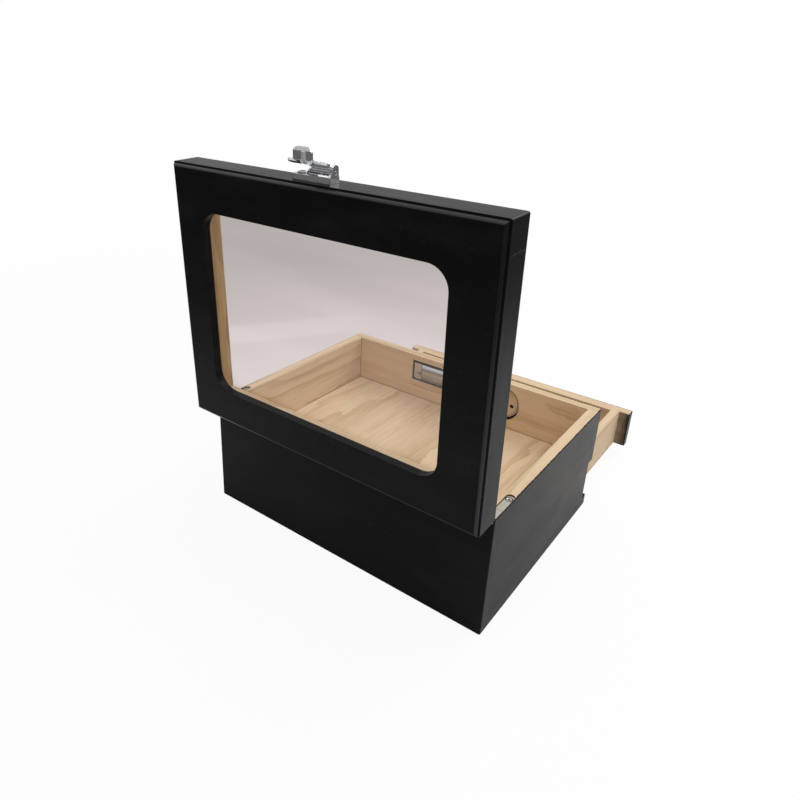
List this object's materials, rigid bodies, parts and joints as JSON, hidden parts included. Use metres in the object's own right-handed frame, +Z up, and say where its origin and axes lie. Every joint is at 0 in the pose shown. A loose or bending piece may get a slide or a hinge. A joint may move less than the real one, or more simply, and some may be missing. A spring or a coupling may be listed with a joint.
{
  "type": "cigar humidor",
  "caption": "Wooden cigar humidor with a hinged window lid and latch, a tray with hygrometer and humidifier, and a drawer below.",
  "frame": {"origin": "middle of the base board's underside, on the table", "axes": "+Z up, -Y towards the drawer and latch at the front, +X to the right seen from the front"},
  "size_m": [0.26, 0.3657, 0.3175],
  "materials": {
    "black_base": "satin black lacquer over wood",
    "black_panel": "satin black lacquer over wood",
    "black_drawer_front": "satin black lacquer outside, bare top edge",
    "case_side_wood": "bare inside, satin black lacquer outside",
    "case_front_wood": "bare inside, satin black lacquer outside",
    "tray_wood": "bare, planed",
    "lid_rail_wood": "bare inside, satin black lacquer outside",
    "lid_stile_wood": "bare inside, satin black lacquer outside",
    "drawer_side_wood": "bare, planed",
    "drawer_back_wood": "bare, planed",
    "drawer_bottom_wood": "bare, planed",
    "pane_glass": "clear, flat",
    "lens_plastic": "clear",
    "hinge_nickel": "satin nickel",
    "hinge_screw_nickel": "satin nickel",
    "latch_chrome": "bright plated",
    "knob_chrome": "bright plated",
    "screw_steel": "plain",
    "plate_steel": "dark",
    "housing_plastic": "silver grey",
    "bezel_plastic": "black",
    "display_face": "grey-green screen",
    "circuit_green": "printed",
    "cell_steel": "plain",
    "humidifier_shell": "beige, moulded",
    "sponge_foam": "open foam"
  },
  "bodies": {
    "case": {"base_board": "black_base", "left_side": "case_side_wood", "right_side": "case_side_wood", "front_fascia": "case_front_wood", "back_wall": "case_front_wood", "tray_floor": "tray_wood", "left_hinge_case_leaf": "hinge_nickel", "right_hinge_case_leaf": "hinge_nickel", "left_hinge_pin": "hinge_nickel", "right_hinge_pin": "hinge_nickel", "hinge_case_screws": "hinge_screw_nickel", "strike_plate": "latch_chrome", "strike_screws": "screw_steel", "hygrometer_housing": "housing_plastic", "hygrometer_bezel": "bezel_plastic", "hygrometer_lens": "lens_plastic", "hygrometer_display": "display_face", "hygrometer_board": "circuit_green", "hygrometer_cell": "cell_steel", "hygrometer_battery_door": "housing_plastic", "hygrometer_screw": "screw_steel", "humidifier_plate": "plate_steel", "humidifier_case": "humidifier_shell", "humidifier_sponge": "sponge_foam", "humidifier_cover": "humidifier_shell"},
    "lid": {"lid_panel": "black_panel", "lid_glass": "pane_glass", "lid_front_rail": "lid_rail_wood", "lid_back_rail": "lid_rail_wood", "lid_left_rail": "lid_stile_wood", "lid_right_rail": "lid_stile_wood", "left_hinge_lid_leaf": "hinge_nickel", "right_hinge_lid_leaf": "hinge_nickel", "hinge_lid_screws": "hinge_screw_nickel", "latch_base": "latch_chrome", "latch_pin": "latch_chrome", "latch_screws": "screw_steel"},
    "latch": {"latch_lever": "latch_chrome"},
    "drawer": {"drawer_front": "black_drawer_front", "drawer_inner_front": "drawer_back_wood", "drawer_left_side": "drawer_side_wood", "drawer_right_side": "drawer_side_wood", "drawer_back": "drawer_back_wood", "drawer_bottom": "drawer_bottom_wood", "drawer_knob": "knob_chrome", "drawer_knob_screw": "screw_steel"}
  },
  "joints": [
    {"name": "lid_hinge", "type": "hinge", "parent": "case", "child": "lid", "pos_m": [0, 0.1, 0.0967], "axis": [1, 0, 0], "range_deg": [0, 92.3]},
    {"name": "latch_hinge", "type": "hinge", "parent": "lid", "child": "latch", "pos_m": [0.0055, 0.11948, 0.30268], "axis": [1, 0, 0], "range_deg": [0, 141]},
    {"name": "drawer_slide", "type": "slide", "parent": "case", "child": "drawer", "axis": [0, -1, 0], "range_m": [-0.117, 0.045]}
  ]
}
